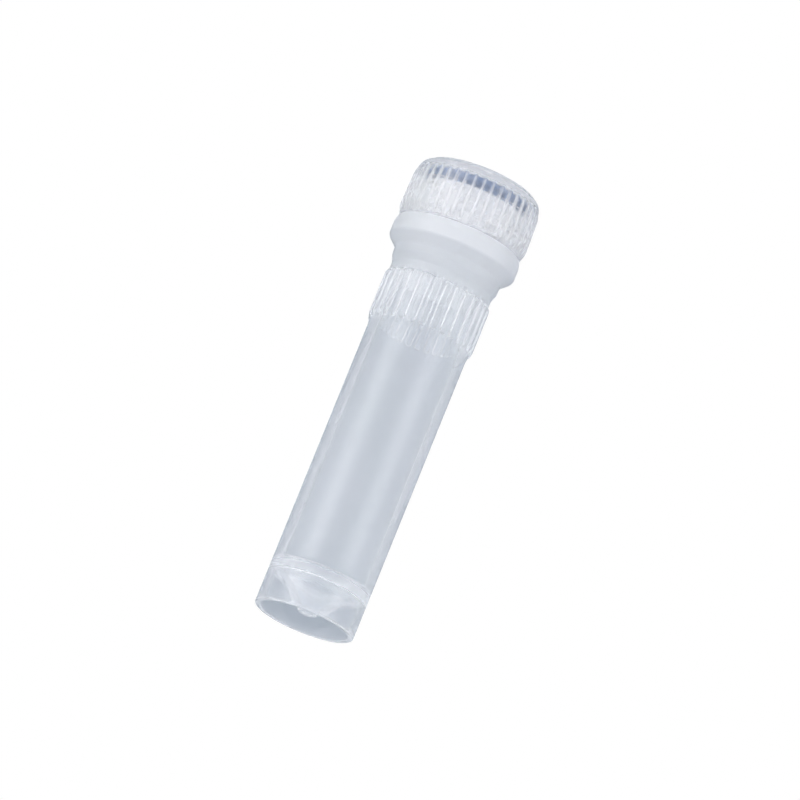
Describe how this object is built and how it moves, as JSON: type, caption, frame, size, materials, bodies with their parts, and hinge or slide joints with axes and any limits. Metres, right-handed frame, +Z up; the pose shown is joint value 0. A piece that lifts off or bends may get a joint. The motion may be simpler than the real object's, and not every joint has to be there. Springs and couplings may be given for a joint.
{
  "type": "skirted screw-cap cryovial",
  "caption": "Self-standing skirted cryovial: translucent plastic tube with a conical floor, a knurled collar and a smooth flange, under a ribbed screw cap with a sealing ring.",
  "frame": {"origin": "centre of the skirt's foot, on the plane that the vial stands on", "axes": "+Z up the vial's axis from the foot to the cap; the tube's mould parting plane is X = 0, with its seam lines on -Y and +Y"},
  "size_m": [0.0132, 0.0132, 0.0472],
  "materials": {
    "tube_plastic": "satin",
    "cap_plastic": "satin",
    "seal_rubber": "matte"
  },
  "bodies": {
    "vial": {"vial_tube": "tube_plastic"},
    "seal": {"sealing_ring": "seal_rubber"},
    "cap": {"screw_cap": "cap_plastic"}
  },
  "joints": [
    {"name": "cap_lift", "type": "slide", "parent": "vial", "child": "seal", "axis": [0, 0, 1], "range_m": [0, 0.0063]},
    {"name": "cap_turn", "type": "hinge", "parent": "seal", "child": "cap", "pos_m": [0, 0, 0.0441], "axis": [0, 0, 1], "range_deg": [0, 1265]}
  ],
  "couplings": [
    {"joint": "cap_turn", "follows": "cap_lift", "rad_per_m": 3490.7}
  ]
}
